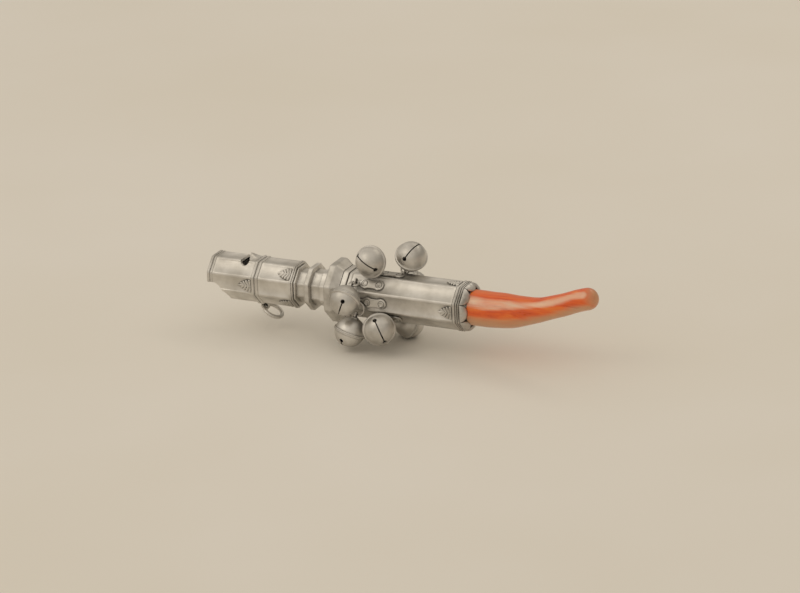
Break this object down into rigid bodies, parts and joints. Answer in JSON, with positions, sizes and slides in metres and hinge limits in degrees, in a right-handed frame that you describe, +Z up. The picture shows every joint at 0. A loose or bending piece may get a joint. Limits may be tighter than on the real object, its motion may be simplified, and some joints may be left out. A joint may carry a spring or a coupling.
{
  "type": "whistle rattle with jingle bells",
  "caption": "Octagonal silver whistle and hand rattle with round jingle bells on linked straps, a hanging ring and a curved coral stick as handle.",
  "frame": {"origin": "on the surface the rattle lies on, under the middle of its length and width", "axes": "+X along the rattle from the whistle's mouth to the coral's tip, +Z up through the facet with the whistle's window, -Y towards the front"},
  "size_m": [0.1401, 0.039, 0.0355],
  "materials": {
    "sheet_silver": "old burnished silver sheet, faintly tarnished",
    "cast_silver": "cast and chased silver, darker in its grooves",
    "bell_silver": "raised silver, softly polished",
    "coral": "polished orange-red coral",
    "iron_pellet": "plain iron shot",
    "setting_cement": "dark setting cement"
  },
  "bodies": {
    "rattle": {"mouth_rim": "cast_silver", "whistle_tube_front": "sheet_silver", "whistle_plug": "sheet_silver", "whistle_lip": "cast_silver", "whistle_end_disc": "sheet_silver", "centre_band": "cast_silver", "ring_eye": "cast_silver", "whistle_tube_rear": "sheet_silver", "neck_band": "cast_silver", "neck_step": "sheet_silver", "neck_tube": "sheet_silver", "neck_flange": "cast_silver", "neck_collar": "sheet_silver", "shoulder_flange": "cast_silver", "shoulder_collar": "sheet_silver", "body_seat": "cast_silver", "body_tube": "sheet_silver", "body_band": "cast_silver", "coral_collar": "cast_silver", "coral_stick": "coral", "coral_cement": "setting_cement", "mouth_leaves": "cast_silver", "chamber_leaves": "cast_silver", "body_leaves": "cast_silver", "bell_straps": "cast_silver", "strap_rivets": "sheet_silver"},
    "suspension_ring": {"suspension_ring": "cast_silver"},
    "link_1": {"link_1": "cast_silver"},
    "bell_1": {"bell_shell_1": "bell_silver", "bell_shank_1": "bell_silver"},
    "pellet_1": {"pellet_1": "iron_pellet"},
    "link_2": {"link_2": "cast_silver"},
    "bell_2": {"bell_shell_2": "bell_silver", "bell_shank_2": "bell_silver"},
    "pellet_2": {"pellet_2": "iron_pellet"},
    "link_3": {"link_3": "cast_silver"},
    "bell_3": {"bell_shell_3": "bell_silver", "bell_shank_3": "bell_silver"},
    "pellet_3": {"pellet_3": "iron_pellet"},
    "link_4": {"link_4": "cast_silver"},
    "bell_4": {"bell_shell_4": "bell_silver", "bell_shank_4": "bell_silver"},
    "pellet_4": {"pellet_4": "iron_pellet"},
    "link_5": {"link_5": "cast_silver"},
    "bell_5": {"bell_shell_5": "bell_silver", "bell_shank_5": "bell_silver"},
    "pellet_5": {"pellet_5": "iron_pellet"},
    "link_6": {"link_6": "cast_silver"},
    "bell_6": {"bell_shell_6": "bell_silver", "bell_shank_6": "bell_silver"},
    "pellet_6": {"pellet_6": "iron_pellet"},
    "link_7": {"link_7": "cast_silver"},
    "bell_7": {"bell_shell_7": "bell_silver", "bell_shank_7": "bell_silver"},
    "pellet_7": {"pellet_7": "iron_pellet"},
    "link_8": {"link_8": "cast_silver"},
    "bell_8": {"bell_shell_8": "bell_silver", "bell_shank_8": "bell_silver"},
    "pellet_8": {"pellet_8": "iron_pellet"}
  },
  "joints": [
    {"name": "ring_swing", "type": "hinge", "parent": "rattle", "child": "suspension_ring", "pos_m": [-0.0522, 0, 0.00772], "axis": [0, 1, 0], "range_deg": [-28, 148]},
    {"name": "link_swing_1", "type": "hinge", "parent": "rattle", "child": "link_1", "pos_m": [-0.0096, 0, 0.02568], "axis": [1, 0, 0], "range_deg": [-5, 1]},
    {"name": "bell_swing_1", "type": "hinge", "parent": "link_1", "child": "bell_1", "pos_m": [-0.00946, 0.0013, 0.0286], "axis": [0.9962, -0.0354, -0.0796], "range_deg": [-35, 0]},
    {"name": "pellet_roll_1", "type": "hinge", "parent": "bell_1", "child": "pellet_1", "pos_m": [-0.00955, -0.00457, 0.03007], "axis": [0, 1, 0], "range_deg": [-35, 35]},
    {"name": "link_swing_2", "type": "hinge", "parent": "rattle", "child": "link_2", "pos_m": [-0.0145, -0.00624, 0.0231], "axis": [1, 0, 0], "range_deg": [-40, 0]},
    {"name": "bell_swing_2", "type": "hinge", "parent": "link_2", "child": "bell_2", "pos_m": [-0.01456, -0.0094, 0.0226], "axis": [0.9994, -0.0345, -0.0055], "range_deg": [-35, 0]},
    {"name": "pellet_roll_2", "type": "hinge", "parent": "bell_2", "child": "pellet_2", "pos_m": [-0.01475, -0.01447, 0.0193], "axis": [0, 1, 0], "range_deg": [-35, 35]},
    {"name": "link_swing_3", "type": "hinge", "parent": "rattle", "child": "link_3", "pos_m": [-0.0128, -0.00882, 0.01686], "axis": [1, 0, 0], "range_deg": [-16, 3]},
    {"name": "bell_swing_3", "type": "hinge", "parent": "link_3", "child": "bell_3", "pos_m": [-0.01347, -0.00914, 0.01237], "axis": [0.9563, -0.0204, -0.2917], "range_deg": [-21, 18]},
    {"name": "pellet_roll_3", "type": "hinge", "parent": "bell_3", "child": "pellet_3", "pos_m": [-0.0152, -0.01089, 0.00684], "axis": [0, 1, 0], "range_deg": [-35, 35]},
    {"name": "link_swing_4", "type": "hinge", "parent": "rattle", "child": "link_4", "pos_m": [-0.0083, -0.00624, 0.01062], "axis": [1, 0, 0], "range_deg": [-7, 40]},
    {"name": "bell_swing_4", "type": "hinge", "parent": "link_4", "child": "bell_4", "pos_m": [-0.00673, -0.00677, 0.00877], "axis": [0.2079, 0.2696, 0.9403], "range_deg": [-9, 13]},
    {"name": "pellet_roll_4", "type": "hinge", "parent": "bell_4", "child": "pellet_4", "pos_m": [-0.00378, -0.01198, 0.0096], "axis": [0, 1, 0], "range_deg": [-35, 35]},
    {"name": "link_swing_5", "type": "hinge", "parent": "rattle", "child": "link_5", "pos_m": [-0.0061, 0, 0.00804], "axis": [1, 0, 0], "range_deg": [-40, 1]},
    {"name": "bell_swing_5", "type": "hinge", "parent": "link_5", "child": "bell_5", "pos_m": [-0.00523, 0.00293, 0.00773], "axis": [0.8387, -0.5417, 0.0569], "range_deg": [-35, 1]},
    {"name": "pellet_roll_5", "type": "hinge", "parent": "bell_5", "child": "pellet_5", "pos_m": [-0.00213, 0.00745, 0.00518], "axis": [0, 1, 0], "range_deg": [-35, 35]},
    {"name": "link_swing_6", "type": "hinge", "parent": "rattle", "child": "link_6", "pos_m": [-0.0119, 0.00624, 0.01062], "axis": [1, 0, 0], "range_deg": [-40, 19]},
    {"name": "bell_swing_6", "type": "hinge", "parent": "link_6", "child": "bell_6", "pos_m": [-0.01313, 0.00869, 0.01156], "axis": [0.6428, 0.7152, 0.2745], "range_deg": [-23, 35]},
    {"name": "pellet_roll_6", "type": "hinge", "parent": "bell_6", "child": "pellet_6", "pos_m": [-0.01456, 0.01188, 0.00662], "axis": [0, 1, 0], "range_deg": [-35, 35]},
    {"name": "link_swing_7", "type": "hinge", "parent": "rattle", "child": "link_7", "pos_m": [-0.01, 0.00882, 0.01686], "axis": [1, 0, 0], "range_deg": [-15, 23]},
    {"name": "bell_swing_7", "type": "hinge", "parent": "link_7", "child": "bell_7", "pos_m": [-0.00861, 0.01121, 0.01707], "axis": [0.5, -0.8627, -0.0755], "range_deg": [-23, 20]},
    {"name": "pellet_roll_7", "type": "hinge", "parent": "bell_7", "child": "pellet_7", "pos_m": [-0.00353, 0.01426, 0.01587], "axis": [0, 1, 0], "range_deg": [-35, 35]},
    {"name": "link_swing_8", "type": "hinge", "parent": "rattle", "child": "link_8", "pos_m": [-0.0025, 0.00624, 0.0231], "axis": [1, 0, 0], "range_deg": [-40, 5]},
    {"name": "bell_swing_8", "type": "hinge", "parent": "link_8", "child": "bell_8", "pos_m": [-0.00135, 0.00771, 0.02537], "axis": [0.6947, -0.3918, -0.6033], "range_deg": [-35, 5]},
    {"name": "pellet_roll_8", "type": "hinge", "parent": "bell_8", "child": "pellet_8", "pos_m": [0.00096, 0.00462, 0.03004], "axis": [0, 1, 0], "range_deg": [-35, 35]}
  ]
}
